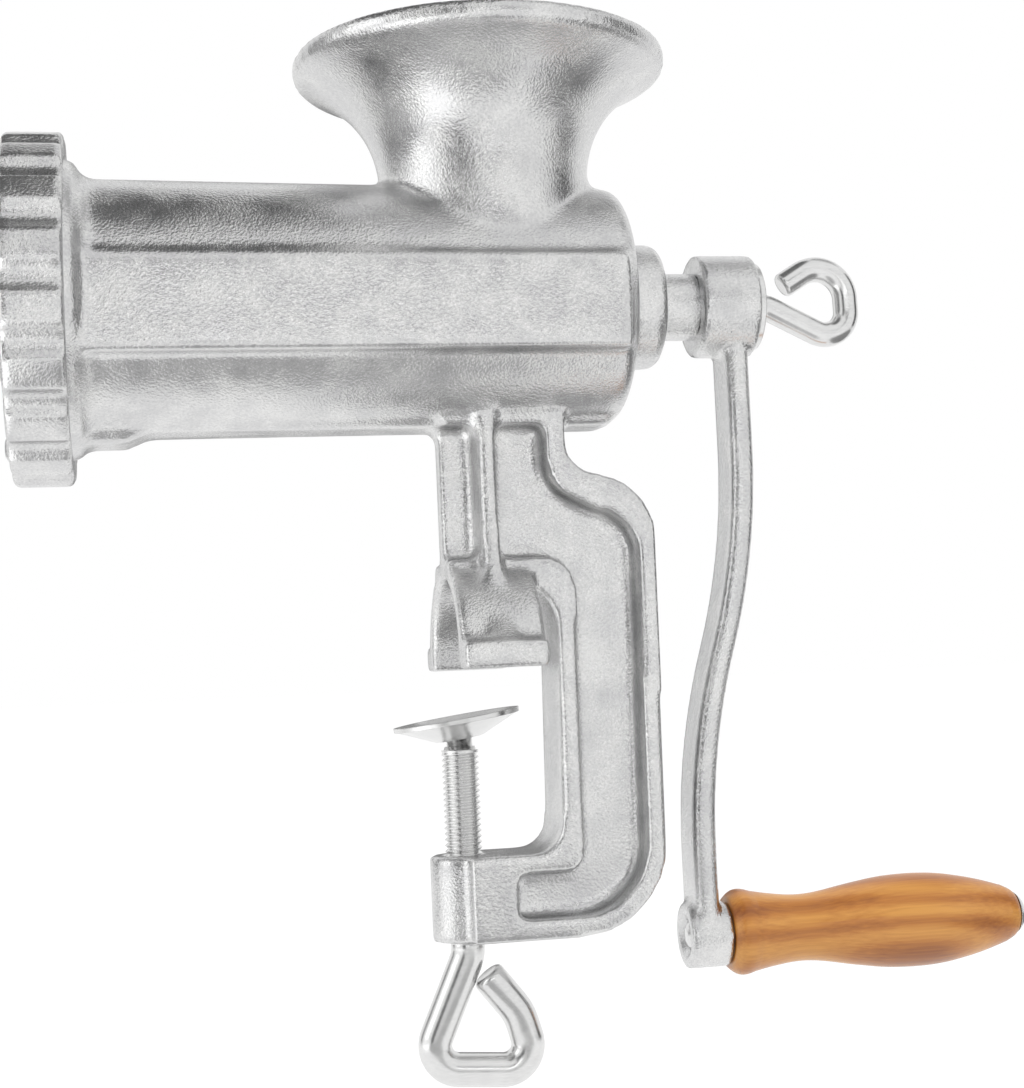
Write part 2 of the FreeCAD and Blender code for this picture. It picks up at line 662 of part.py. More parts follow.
washer = new_body("thrust_washer")
band = new_sketch(washer, "YZ", "screw_back + 0.1")
circle(band, "0", "0", "core_radius + 8")
circle(band, "0", "0", "shaft_radius + shaft_gap")
pad(washer, band, "bore_back - screw_back - 0.15")

crank = new_body("crank_arm")
pad(crank, circle(new_sketch(crank, "YZ", "hub_front"), "0", "0", "hub_radius"), "hub_back - hub_front")
arm = outline(new_sketch(crank, "XZ"), [
    ("arm_at_top - arm_thick / 2", "-7"),
    ("arm_at_top - arm_thick / 2", "-40", "-187"),
    ("(arm_at_top + arm_at_bottom - arm_thick) / 2", "-95", "187"),
    ("arm_at_bottom - arm_thick / 2", "-150"),
    ("arm_at_bottom - arm_thick / 2", "-crank_radius"),
    ("arm_at_bottom + arm_thick / 2", "-crank_radius"),
    ("arm_at_bottom + arm_thick / 2", "-150", "-187"),
    ("(arm_at_top + arm_at_bottom + arm_thick) / 2", "-95", "187"),
    ("arm_at_top + arm_thick / 2", "-40"),
    ("arm_at_top + arm_thick / 2", "-7"),
])
pad(crank, arm, "2 * arm_half", both=True)


def arm_edge(edge, spot):
    """Is this one of the arm's four long edges?"""
    on_side = abs(abs(spot.y) - number("arm_half")) < 0.01
    below_hub = 1 - number("crank_radius") < spot.z < -number("hub_radius")
    return on_side and below_hub and not along_y(edge) and edge.BoundBox.ZLength > 5


soften(crank, pick(crank, arm_edge), "2.4")
pad(crank, circle(new_sketch(crank, "YZ", "grip_front - 12"), "0", "-crank_radius", "eye_radius"), "11.6")
eye = circle(new_sketch(crank, "YZ", "grip_front - 13"), "0", "-crank_radius", "pin_radius")
pocket(crank, eye, "14", flip=True)
dish = circle(new_sketch(crank, "YZ", "grip_front - 13"), "0", "-crank_radius", "pin_radius + 1.6")
pocket(crank, dish, "2.2", flip=True)
square = centred_square(new_sketch(crank, "YZ", "hub_front - 1"), "drive_square / 2 + screw_gap")
pocket(crank, square, "hub_back - hub_front + 2", flip=True)

face = new_body("crank_washer")
band = new_sketch(face, "YZ", "hub_back + 0.05")
circle(band, "0", "0", "washer_radius")
circle(band, "0", "0", "thumb_radius + 0.3")
pad(face, band, "1.5")

thumb = new_body("thumb_screw")
path = rod_path(thumb, [
    ("hub_back - 11", "0"),
    ("hub_back + 5", "0"),
    ("hub_back + 24.6", "-11"),
    ("hub_back + 33", "-1"),
    ("hub_back + 28", "13.4"),
    ("hub_back + 8", "4.6"),
], ["6", "5", "6", "5"])
tip = circle(new_sketch(thumb, "YZ", "hub_back - 11"), "0", "0", "thumb_radius")
wire = thumb.newObject("PartDesign::AdditivePipe", "thumb_wire")
wire.Profile = tip
wire.Spine = path
settle(thumb, wire)
pad(thumb, circle(new_sketch(thumb, "YZ", "hub_back + 1.7"), "0", "0", "thumb_radius + 1.8"), "2")

pin = new_body("handle_pin")
pin_sketch = outline(new_sketch(pin, "XZ"), [
    ("grip_front - 11.6", "-crank_radius"),
    ("grip_back + 3", "-crank_radius", "6.6"),
    ("grip_back + 0.1", "5.6 - crank_radius"),
    ("grip_back + 0.1", "pin_radius - crank_radius"),
    ("grip_front - 10", "pin_radius - crank_radius"),
    ("grip_front - 11", "pin_radius - 0.8 - crank_radius"),
    ("grip_front - 11.6", "pin_radius - 2.2 - crank_radius"),
])
grip_axis = turning_line(pin_sketch, ("grip_front", "-crank_radius"), ("grip_back", "-crank_radius"))
turn(pin, pin_sketch, grip_axis)

grip = new_body("handle_grip")
grip_sketch = outline(new_sketch(grip, "XZ"), [
    ("grip_front", "pin_radius + 0.08 - crank_radius"),
    ("grip_back", "pin_radius + 0.08 - crank_radius"),
    ("grip_back", "belly_radius - 7.1 - crank_radius"),
    ("grip_back - 1", "belly_radius - 5.8 - crank_radius", "16"),
    ("grip_back - 7", "belly_radius - 3.5 - crank_radius", "86"),
    ("grip_front + 31", "belly_radius - 2.4 - crank_radius", "-43"),
    ("grip_front + 6", "bead_radius - 0.35 - crank_radius"),
    ("grip_front + 4.6", "bead_radius - crank_radius"),
    ("grip_front + 2.8", "bead_radius - crank_radius"),
    ("grip_front", "bead_radius - 2 - crank_radius"),
])
grip_axis = turning_line(grip_sketch, ("grip_front", "-crank_radius"), ("grip_back", "-crank_radius"))
turn(grip, grip_sketch, grip_axis)

# Clamp screw with its bent handle, and the loose pressure pad.
clamp = new_body("clamp_screw", "0")
path = rod_path(clamp, [
    ("0", "arm_bottom + 3"),
    ("0", "arm_bottom - 4"),
    ("-13", "arm_bottom - 33"),
    ("17.4", "arm_bottom - 35.5"),
    ("13", "arm_bottom - 20"),
    ("5.6", "arm_bottom - 10.5"),
], ["9", "6.5", "6.5", "14"])
tip = circle(new_sketch(clamp, "XY", "arm_bottom + 3"), "0", "0", "rod_radius")
wire = clamp.newObject("PartDesign::AdditivePipe", "clamp_wire")
wire.Profile = tip
wire.Spine = path
settle(clamp, wire)
turn(clamp, outline(new_sketch(clamp, "XZ"), [
    ("0", "arm_bottom - 0.8"),
    ("screw_radius - 0.6", "arm_bottom - 0.8"),
    ("screw_radius", "arm_bottom - 0.2"),
    ("screw_radius", "pad_at - 4.2"),
    ("screw_radius - 1", "pad_at - 3.2"),
    ("neck_radius", "pad_at - 3.2"),
    ("neck_radius", "pad_at + 2.2"),
    ("neck_radius + 1.4", "pad_at + 2.2"),
    ("neck_radius + 0.6", "pad_at + 3.6"),
    ("0", "pad_at + 3.6"),
]), "V_Axis")

pad_body = new_body("clamp_pad", "pad_at")
turn(pad_body, outline(new_sketch(pad_body, "XZ"), [
    ("neck_radius + 0.9", "-1.1"),
    ("6.4", "-1.1"),
    ("pad_radius - 1", "3.2"),
    ("pad_radius", "3.4"),
    ("pad_radius", "4.6"),
    ("pad_radius - 1.4", "4.6"),
    ("6", "0.5"),
    ("neck_radius + 0.9", "0.5"),
]), "V_Axis")
lean = Rotation(Vector(0, 1, 0), -number("pad_tilt"))
pad_body.Placement = Placement(Vector(0, 0, number("pad_at")), lean)
doc.recompute()

NODES = [body, key, ring, plate, knife, stud, feed, washer, crank, face, thumb, pin, grip, clamp, pad_body]
for item in doc.Objects:
    if "Invalid" in item.State or "Error" in item.State:
        raise RuntimeError("%s has an error" % item.Label)
os.makedirs("parts", exist_ok=True)
for node in NODES:
    if node.Shape.isNull() or not node.Shape.isValid() or len(node.Shape.Solids) != 1:
        raise RuntimeError("%s is not one sound solid" % node.Label)
    node.Shape.exportStep("parts/%s.step" % node.Label)
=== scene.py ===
"""Looks of a hand crank meat grinder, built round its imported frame.

Lengths are metres. The tables of turned and bent pieces are in millimetres, like the solids' own
sizes, and are scaled by MM when a mesh is made.
"""

import json
import logging
import math
from dataclasses import dataclass
from enum import Enum
from typing import Any, Optional, Union

import bmesh
import bpy
import numpy as np
from mathutils import Matrix, Vector

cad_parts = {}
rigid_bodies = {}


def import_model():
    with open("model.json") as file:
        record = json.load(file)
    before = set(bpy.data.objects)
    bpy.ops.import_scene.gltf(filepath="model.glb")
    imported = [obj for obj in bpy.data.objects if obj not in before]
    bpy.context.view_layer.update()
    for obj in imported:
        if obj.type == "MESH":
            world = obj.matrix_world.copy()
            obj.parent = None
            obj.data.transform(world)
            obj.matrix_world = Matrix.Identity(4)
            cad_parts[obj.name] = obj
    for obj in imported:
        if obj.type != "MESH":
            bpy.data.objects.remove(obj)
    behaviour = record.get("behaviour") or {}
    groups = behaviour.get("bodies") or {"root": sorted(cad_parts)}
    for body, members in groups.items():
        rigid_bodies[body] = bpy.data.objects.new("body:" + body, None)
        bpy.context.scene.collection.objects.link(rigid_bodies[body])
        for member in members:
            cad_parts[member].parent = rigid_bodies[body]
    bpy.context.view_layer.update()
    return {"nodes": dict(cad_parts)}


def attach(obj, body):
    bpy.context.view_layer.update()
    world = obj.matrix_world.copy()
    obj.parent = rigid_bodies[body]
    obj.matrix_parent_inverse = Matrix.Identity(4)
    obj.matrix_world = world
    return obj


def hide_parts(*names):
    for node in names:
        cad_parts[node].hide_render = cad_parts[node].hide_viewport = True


LOG = logging.getLogger("grinder")
MM = 0.001
MERGE = 1e-7
"""Points closer than this are one."""
POLE_MM = 0.02
"""Radius of the small ring at the end of a turned surface, before it is closed."""
ROD_SIDES = 40
TIP_ROWS = 6
BEND_STEP = 0.09
"""Radians between the points of a bend."""
SPLIT_NORMALS = "custom_normal"
WHITE = (1.0, 1.0, 1.0, 1.0)


class Op(Enum):
    """Arithmetic that a Value can do."""

    ADD = "ADD"
    MULTIPLY = "MULTIPLY"
    MAXIMUM = "MAXIMUM"
    SINE = "SINE"


@dataclass
class Value:
    """A socket of one shader, on which sums can be written as Python expressions."""

    graph: "Graph"
    socket: Optional[bpy.types.NodeSocket]

    def _sum(self, op: Op, first: Any, second: Any) -> "Value":
        """Add the Math node for one operation.

        Args:
            op: The operation.
            first: Its first number or value.
            second: Its second number or value.

        Returns:
            The node's result.
        """
        return self.graph.node("ShaderNodeMath", {"operation": op.value}, {0: first, 1: second})

    def __add__(self, other: Any) -> "Value":
        """Self plus other."""
        return self._sum(Op.ADD, self, other)

    __radd__ = __add__

    def __mul__(self, other: Any) -> "Value":
        """Self times other."""
        return self._sum(Op.MULTIPLY, self, other)

    __rmul__ = __mul__

    def most(self, other: Any) -> "Value":
        """The larger of self and other."""
        return self._sum(Op.MAXIMUM, self, other)

    def sine(self) -> "Value":
        """The sine of self, in radians."""
        return self._sum(Op.SINE, self, 0.0)


class Graph:
    """A node tree that is filled by calls."""

    def __init__(self, tree: bpy.types.NodeTree) -> None:
        """Empty the tree.

        Args:
            tree: The material's or the world's node tree.
        """
        self.tree = tree
        tree.nodes.clear()

    def node(
        self,
        kind: str,
        settings: Optional[dict] = None,
        inputs: Optional[dict] = None,
        out: Union[int, str] = 0,
    ) -> Value:
        """Add a node.

        Args:
            kind: The node's type.
            settings: Properties, set first.
            inputs: Numbers, colours or values by socket name or index.
            out: The output wanted.

        Returns:
            That output, or an empty value for a node without outputs.
        """
        made = self.tree.nodes.new(kind)
        for name, setting in (settings or {}).items():
            setattr(made, name, setting)
        for name, given in (inputs or {}).items():
            if isinstance(given, Value):
                self.tree.links.new(given.socket, made.inputs[name])
            else:
                made.inputs[name].default_value = given
        outputs = made.outputs
        return Value(self, outputs[out] if len(outputs) else None)

    def place_mm(self, stretch: tuple = (1.0, 1.0, 1.0)) -> Value:
        """Object coordinates in millimetres, stretched along each axis."""
        spot = self.node("ShaderNodeTexCoord", out="Object")
        scale = tuple(s / MM for s in stretch)
        return self.node("ShaderNodeVectorMath", {"operation": "MULTIPLY"}, {0: spot, 1: scale})

    def noise(self, at: Value, scale: float, detail: float, rough: float = 0.55) -> Value:
        """Noise of a given scale at a place."""
        inputs = {"Vector": at, "Scale": scale, "Detail": detail, "Roughness": rough}
        return self.node("ShaderNodeTexNoise", None, inputs)

    def ramp(self, amount: Value, places: tuple, colours: tuple) -> Value:
        """A colour between stops.

        Args:
            amount: Where along the ramp.
            places: Each stop's place.
            colours: Each stop's colour.

        Returns:
            The colour.
        """
        made = self.node("ShaderNodeValToRGB", None, {0: amount})
        elements = made.socket.node.color_ramp.elements
        while len(elements) < len(places):
            elements.new(0.5)
        for element, place, colour in zip(elements, places, colours):
            element.position = place
            element.color = (*colour, 1.0)
        return made

    def bump(self, height: Value, strength: float, depth: float, **normal: Value) -> Value:
        """A normal tilted by a height.

        Args:
            height: The height, from 0 to 1.
            strength: How much of it shows.
            depth: The length that a height of 1 stands for.
            normal: The normal to tilt, given as Normal, if it isn't the surface's own.

        Returns:
            The normal.
        """
        inputs = {"Strength": strength, "Distance": depth, "Height": height, **normal}
        return self.node("ShaderNodeBump", None, inputs)

    def shown(self) -> Value:
        """1 where the camera, a mirror or glass looks, and 0 for other light."""
        camera = self.node("ShaderNodeLightPath", out="Is Camera Ray")
        rays = camera.socket.node.outputs
        glossy, clear = (Value(self, rays[name]) for name in ("Is Glossy Ray", "Is Transmission Ray"))
        return camera.most(glossy).most(clear)

    def surface(self, shader: Value) -> None:
        """Give the shader to the material's output."""
        self.node("ShaderNodeOutputMaterial", None, {"Surface": shader})

    def principled(self, inputs: dict) -> None:
        """Make the surface a principled shader with these inputs."""
        self.surface(self.node("ShaderNodeBsdfPrincipled", None, inputs))

    def emission(self, strength: float) -> Value:
        """White light of a given strength."""
        return self.node("ShaderNodeEmission", None, {"Color": WHITE, "Strength": strength})


def new_material(name: str) -> tuple[bpy.types.Material, Graph]:
    """Make an empty material.

    Args:
        name: Its name.

    Returns:
        The material, and the graph that fills it.
    """
    made = bpy.data.materials.new(name)
    made.use_nodes = True
    return made, Graph(made.node_tree)


@dataclass(frozen=True)
class TinnedCasting:
    """Bright tin over sand-cast iron: a fine grain that comes and goes in large patches."""

    name: str = "tinned_casting"
    dark: tuple = (0.57, 0.57, 0.575)
    mid: tuple = (0.65, 0.65, 0.65)
    light: tuple = (0.74, 0.74, 0.735)
    stops: tuple = (0.36, 0.50, 0.62)
    grain_scale: float = 1.5
    grain_share: float = 0.4
    grain_gain: float = 1.2
    grain_depth: float = 0.28 * MM
    patch_scale: float = 0.09
    patch_share: float = 0.6
    roughness: float = 0.165
    roughness_spread: float = 0.14

    def material(self) -> bpy.types.Material:
        """Build the material.

        Returns:
            Metal whose colour, roughness and bump come from the grain and the patches.
        """
        made, g = new_material(self.name)
        at = g.place_mm()
        grain = g.noise(at, self.grain_scale, 2.0)
        patches = g.noise(at, self.patch_scale, 2.0)
        tone = grain * self.grain_share + patches * self.patch_share
        g.principled(
            {
                "Base Color": g.ramp(tone, self.stops, (self.dark, self.mid, self.light)),
                "Metallic": 1.0,
                "Roughness": self.roughness + patches * self.roughness_spread,
                "Normal": g.bump(grain * (patches * self.grain_gain), 1.0, self.grain_depth),
            }
        )
        return made


@dataclass(frozen=True)
class SmoothMetal:
    """Plated or ground steel with faint drawn lines."""

    name: str
    dark: tuple
    light: tuple
    roughness: float
    roughness_spread: float = 0.14
    stops: tuple = (0.32, 0.62)
    stretch: tuple = (0.12, 1.0, 1.0)
    line_scale: float = 2.4
    line_share: float = 0.6
    line_strength: float = 0.18
    line_depth: float = 0.05 * MM
    cloud_scale: float = 0.22
    cloud_share: float = 0.4
    edge: float = 0.35 * MM

    def material(self) -> bpy.types.Material:
        """Build the material.

        Returns:
            Metal with drawn lines in its colour and bump, and clouds in its roughness.
        """
        made, g = new_material(self.name)
        lines = g.noise(g.place_mm(self.stretch), self.line_scale, 3.0)
        clouds = g.noise(g.place_mm(), self.cloud_scale, 2.0)
        tone = lines * self.line_share + clouds * self.cloud_share
        soft = g.node("ShaderNodeBevel", {"samples": 4}, {"Radius": self.edge})
        g.principled(
            {
                "Base Color": g.ramp(tone, self.stops, (self.dark, self.light)),
                "Metallic": 1.0,
                "Roughness": self.roughness + clouds * self.roughness_spread,
                "Normal": g.bump(lines, self.line_strength, self.line_depth, Normal=soft),
            }
        )
        return made


@dataclass(frozen=True)
class VarnishedWood:
    """Orange-brown wood, grain along the grip, under a clear varnish."""

    name: str = "varnished_wood"
    pale: tuple = (0.62, 0.285, 0.055)
    warm: tuple = (0.45, 0.165, 0.024)
    deep: tuple = (0.25, 0.070, 0.009)
    stops: tuple = (0.30, 0.46, 0.62)
    layers: tuple = (0.012, 0.42, 0.70)
    sway: float = 9.0
    sway_stretch: tuple = (0.011, 0.05, 0.05)
    pore_stretch: tuple = (0.020, 1.5, 1.5)
    cloud_stretch: tuple = (0.02, 0.06, 0.06)
    base_share: float = 0.20
    band_share: float = 0.09
    pore_share: float = 0.22
    cloud_share: float = 0.35
    pore_strength: float = 0.10
    pore_depth: float = 0.06 * MM
    roughness: float = 0.36
    roughness_spread: float = 0.14
    coat: float = 0.45
    coat_roughness: float = 0.22

    def material(self) -> bpy.types.Material:
        """Build the material.

        Returns:
            Wood whose layers lie along the grip and sway, with thin pores and a coat.
        """
        made, g = new_material(self.name)
        drift = g.noise(g.place_mm(self.sway_stretch), 1.0, 1.0, 0.4)
        planes = {0: g.place_mm(), 1: self.layers}
        depth = g.node("ShaderNodeVectorMath", {"operation": "DOT_PRODUCT"}, planes, "Value")
        bands = (depth + drift * self.sway).sine()
        pores = g.noise(g.place_mm(self.pore_stretch), 1.0, 2.0)
        clouds = g.noise(g.place_mm(self.cloud_stretch), 1.0, 1.0)
        shares = bands * self.band_share + pores * self.pore_share + clouds * self.cloud_share
        tone = shares + self.base_share
        g.principled(
            {
                "Base Color": g.ramp(tone, self.stops, (self.deep, self.warm, self.pale)),
                "Roughness": self.roughness + pores * self.roughness_spread,
                "Coat Weight": self.coat,
                "Coat Roughness": self.coat_roughness,
                "Normal": g.bump(pores, self.pore_strength, self.pore_depth),
            }
        )
        return made


@dataclass(frozen=True)
class Fibre:
    """Pale pressed fibre."""

    name: str = "fibre"
    dark: tuple = (0.58, 0.54, 0.45)
    light: tuple = (0.80, 0.77, 0.69)
    stops: tuple = (0.35, 0.62)
    speck_scale: float = 1.4
    speck_strength: float = 0.3
    speck_depth: float = 0.1 * MM
    roughness: float = 0.7
    roughness_spread: float = 0.15

    def material(self) -> bpy.types.Material:
        """Build the material.

        Returns:
            A matt, speckled surface.
        """
        made, g = new_material(self.name)
        specks = g.noise(g.place_mm(), self.speck_scale, 3.0)
        g.principled(
            {
                "Base Color": g.ramp(specks, self.stops, (self.dark, self.light)),
                "Roughness": self.roughness + specks * self.roughness_spread,
                "Normal": g.bump(specks, self.speck_strength, self.speck_depth),
            }
        )
        return made


def wear(mesh: bpy.types.Mesh, finish: bpy.types.Material) -> None:
    """Shade a mesh smoothly and give it one material.

    Args:
        mesh: The mesh.
        finish: The material.
    """
    mesh.polygons.foreach_set("use_smooth", np.ones(len(mesh.polygons), dtype=bool))
    mesh.materials.clear()
    mesh.materials.append(finish)


def new_piece(name: str, mesh: bpy.types.Mesh) -> bpy.types.Object:
    """Put a mesh into the scene, at the origin.

    Args:
        name: The piece's name.
        mesh: Its mesh.

    Returns:
        The piece.
    """
    made = bpy.data.objects.new(name, mesh)
    bpy.context.scene.collection.objects.link(made)
    return made


def mesh_piece(
    name: str, points: np.ndarray, faces: np.ndarray, finish: bpy.types.Material
) -> bpy.types.Object:
    """Make a piece from whole arrays.

    Args:
        name: The piece's name.
        points: N x 3 places in metres.
        faces: Corner numbers, one row to a face.
        finish: Its material.

    Returns:
        The piece, at the origin, with smooth faces.
    """
    mesh = bpy.data.meshes.new(name)
    mesh.from_pydata(points.tolist(), [], faces.tolist())
    mesh.update()
    wear(mesh, finish)
    return new_piece(name, mesh)


def face_outwards(piece: bpy.types.Object) -> None:
    """Merge the piece's doubles, close its ends and turn its faces outwards."""
    work = bmesh.new()
    work.from_mesh(piece.data)
    bmesh.ops.remove_doubles(work, verts=work.verts, dist=MERGE)
    bmesh.ops.holes_fill(work, edges=work.edges, sides=0)
    bmesh.ops.recalc_face_normals(work, faces=work.faces)
    work.to_mesh(piece.data)
    work.free()


def merged_copy(source: bpy.types.Object, name: str) -> bpy.types.Object:
    """Copy a CAD node's mesh into a new piece and merge its doubles.

    Args:
        source: The node.
        name: The piece's name.

    Returns:
        The piece, at the origin.
    """
    mesh = source.data.copy()
    mesh.transform(source.matrix_world)
    if SPLIT_NORMALS in mesh.attributes:
        mesh.attributes.remove(mesh.attributes[SPLIT_NORMALS])
    made = new_piece(name, mesh)
    face_outwards(made)
    return made


def stand_for(piece: bpy.types.Object, node: str, body: str) -> None:
    """Let a piece stand for a CAD node.

    Args:
        piece: The piece.
        node: The node, which is no longer shown.
        body: The body that carries the piece.
    """
    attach(piece, body)
    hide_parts(node)


def circle(sides: int) -> np.ndarray:
    """Even angles round a circle, in radians."""
    return np.linspace(0, 2 * np.pi, sides, endpoint=False)


def ring_faces(rings: int, around: int) -> np.ndarray:
    """Quads between neighbouring rings of a surface that closes round itself.

    Args:
        rings: How many rings there are.
        around: How many points each has.

    Returns:
        The corner numbers.
    """
    i, j = np.meshgrid(np.arange(rings - 1), np.arange(around), indexing="ij")
    k = (j + 1) % around
    low, high = i * around, (i + 1) * around
    return np.stack([low + j, low + k, high + k, high + j], -1).reshape(-1, 4)


def bent_path(corners: tuple, bends: tuple) -> np.ndarray:
    """A path through corners, with an arc of the given radius at each inner one.

    Args:
        corners: Places in the middle plane, x and z.
        bends: A radius for each inner corner.

    Returns:
        K x 2 places. Each arc's points lie at even angles on its radius.
    """
    spots = np.array(corners, dtype=float)
    runs = [spots[:1]]
    for here, before, after, bend in zip(spots[1:-1], spots[:-2], spots[2:], bends):
        into = (here - before) / np.linalg.norm(here - before)
        out = (after - here) / np.linalg.norm(after - here)
        turn = math.acos(float(np.clip(into @ out, -1, 1)))
        side = math.copysign(1.0, into[0] * out[1] - into[1] * out[0])
        start = here - into * bend * math.tan(turn / 2)
        left = np.array([-into[1], into[0]]) * side
        angle = np.linspace(0, turn, max(int(turn / BEND_STEP), 3))[:, None]
        runs.append(start + left * bend * (1 - np.cos(angle)) + into * bend * np.sin(angle))
    runs.append(spots[-1:])
    return np.concatenate(runs)


def round_rod(path: np.ndarray, width: np.ndarray, tip: float) -> tuple[np.ndarray, np.ndarray]:
    """A round rod along a path in the plane of X and Z, its free end rounded off.

    Args:
        path: K x 2 places, x and z in millimetres.
        width: The rod's radius at each place.
        tip: The radius of the rounding at the last place.

    Returns:
        Places in metres and faces: a circle carried along the path, drawn in at both ends.
    """
    way = np.gradient(path, axis=0)
    way /= np.linalg.norm(way, axis=1)[:, None]
    turn = np.linspace(0, np.pi / 2, TIP_ROWS + 1)[1:]
    rounding = path[-1] + way[-1] * (tip * np.sin(turn))[:, None]
    path = np.concatenate([path[:1], path, rounding, rounding[-1:]])
    way = np.concatenate([way[:1], way, np.repeat(way[-1:], TIP_ROWS + 1, 0)])
    drawn_in = width[-1] - tip * (1 - np.cos(turn))
    width = np.concatenate([[POLE_MM], width, drawn_in, [POLE_MM]])[:, None]
    angle = circle(ROD_SIDES)
    x = path[:, :1] - way[:, 1:] * width * np.cos(angle)
    y = width * np.sin(angle)
    z = path[:, 1:] + way[:, :1] * width * np.cos(angle)
    return np.stack([x, y, z], -1).reshape(-1, 3) * MM, ring_faces(len(path), ROD_SIDES)


def joined(name: str, parts: tuple, finish: bpy.types.Material) -> bpy.types.Object:
    """Make one piece of two closed surfaces.

    Args:
        name: The piece's name.
        parts: Two pairs of places and faces.
        finish: Its material.

    Returns:
        The piece.
    """
    (first, first_faces), (second, second_faces) = parts
    points = np.concatenate([first, second])
    faces = np.concatenate([first_faces, second_faces + len(first)])
    made = mesh_piece(name, points, faces, finish)
    face_outwards(made)
    return made


@dataclass(frozen=True)
class ThumbScrew:
    """The screw that holds the crank, with a loop bent as in the photograph, in millimetres."""

    axis: float = 98.0
    end: float = 76.2
    shank: float = 2.95
    collar: float = 4.7
    collar_at: tuple = (88.75, 90.6)
    collar_edge: float = 0.4
    step: float = 1e-4
    rod: float = 3.5
    rod_tip: float = 1.2
    corners: tuple = ((92, 98.0), (116, 85.8), (115.5, 115.2), (98, 104.3))
    bends: tuple = (6, 6.5, 8.5)

    def build(self, finish: bpy.types.Material) -> None:
        """Make the piece, a straight shank with a collar and a loop, and let it stand for its node.

        Args:
            finish: Its metal.
        """
        start, stop = self.collar_at
        along = np.array([self.end, start, start + self.step, stop])
        radii = np.array([self.shank, self.shank, self.collar, self.collar])
        straight = np.stack([along, np.full(len(along), self.axis)], -1)
        shank = round_rod(straight, radii, self.collar_edge)
        path = bent_path(((start, self.axis), *self.corners), self.bends)
        loop = round_rod(path, np.full(len(path), self.rod), self.rod_tip)
        made = joined("thumb_screw_bent", (shank, loop), finish)
        stand_for(made, "thumb_screw", "lock_screw")


@dataclass(frozen=True)
class ClampScrew:
    """The clamp screw: a threaded shaft with a neck and head, and its bent handle, in millimetres."""

    radius: float = 5.0
    pitch: float = 1.5
    depth: float = 0.85
    thread: tuple = (-71.7, -21.4)
    around: int = 72
    rows: int = 420
    foot: tuple = ((-72.3, POLE_MM), (-72.3, 4.4), (-71.9, 4.5))
    head: tuple = (
        (-21.3, 4.3),
        (-20.4, 4.0),
        (-20.4, 3.4),
        (-15.0, 3.4),
        (-15.0, 4.8),
        (-13.6, 4.0),
        (-13.6, POLE_MM),
    )
    rod: float = 4.5
    rod_tip: float = 1.6
    corners: tuple = (
        (0, -69.0),
        (0, -75.5),
        (-13, -104.46),
        (17.4, -106.95),
        (13, -91.5),
        (5.6, -82),
    )
    bends: tuple = (9, 6.5, 6.5, 14)

    def shaft(self) -> tuple[np.ndarray, np.ndarray]:
        """The turned shaft. Its radius falls by a triangle wave of height less angle.

        Returns:
            Places in metres and faces.
        """
        low, high = self.thread
        body = np.stack([np.linspace(low, high, self.rows), np.full(self.rows, self.radius)], -1)
        height, plain = np.concatenate([self.foot, body, self.head]).T
        z, angle = np.meshgrid(height, circle(self.around), indexing="ij")
        wave = np.abs(2 * ((z / self.pitch - angle / (2 * np.pi)) % 1.0) - 1)
        ends = np.clip(np.minimum(z - low, high - z) / self.pitch, 0, 1)
        radius = plain[:, None] - self.depth * wave * ends
        points = np.stack([radius * np.cos(angle), radius * np.sin(angle), z], -1)
        return points.reshape(-1, 3) * MM, ring_faces(len(height), self.around)

    def build(self, finish: bpy.types.Material) -> None:
        """Make the piece and let it stand for its node.

        Args:
            finish: Its metal.
        """
        path = bent_path(self.corners, self.bends)
        handle = round_rod(path, np.full(len(path), self.rod), self.rod_tip)
        made = joined("clamp_screw_threaded", (self.shaft(), handle), finish)
        stand_for(made, "clamp_screw", "screw")


@dataclass(frozen=True)
class TurnedGrip:
    """The wooden grip, turned to the photographed outline, in millimetres."""

    front: float = 71.6
    axis: float = -74.5
    hole: float = 3.98
    along: tuple = (
        0.0, 1.0, 2.2, 3.5, 4.9, 7.0, 10.5, 14.0, 17.5, 21.0, 24.4, 27.9, 31.4, 34.9, 38.4,
        41.9, 45.4, 48.9, 52.4, 55.9, 59.4, 62.9, 66.3, 69.8, 73.3, 76.8, 80.3, 82.1, 83.3, 83.8,
    )
    radii: tuple = (
        9.6, 10.6, 11.35, 11.6, 11.45, 10.8, 10.1, 9.55, 9.1, 8.95, 9.15, 9.65, 10.3, 10.95, 11.5,
        12.05, 12.45, 12.65, 12.74, 12.7, 12.5, 12.1, 11.5, 10.8, 9.95, 8.95, 7.8, 6.95, 6.1, 5.2,
    )
    spans: tuple = ((0, 7, 28), (7, 80, 146), (80, 83.8, 16))
    rounds: int = 6
    around: int = 96

    def build(self, finish: bpy.types.Material) -> None:
        """Make the piece, a closed outline turned round its axis, and let it stand for its node.

        Args:
            finish: Its wood.
        """
        rows = [np.linspace(low, high, count + 1)[1:] for low, high, count in self.spans]
        fine = np.concatenate([[0.0], *rows])
        outside = np.interp(fine, self.along, self.radii)
        for _ in range(self.rounds):
            outside[1:-1] = outside[1:-1] / 2 + (outside[:-2] + outside[2:]) / 4
        x = np.concatenate([fine, [fine[-1], fine[0], fine[0]]])[:, None]
        r = np.concatenate([outside, [self.hole, self.hole, outside[0]]])[:, None]
        angle = circle(self.around)
        outline = np.repeat(self.front + x, self.around, 1)
        points = np.stack([outline, r * np.cos(angle), self.axis + r * np.sin(angle)], -1)
        faces = ring_faces(len(x), self.around)
        made = mesh_piece("handle_grip_turned", points.reshape(-1, 3) * MM, faces, finish)
        face_outwards(made)
        stand_for(made, "handle_grip", "grip")


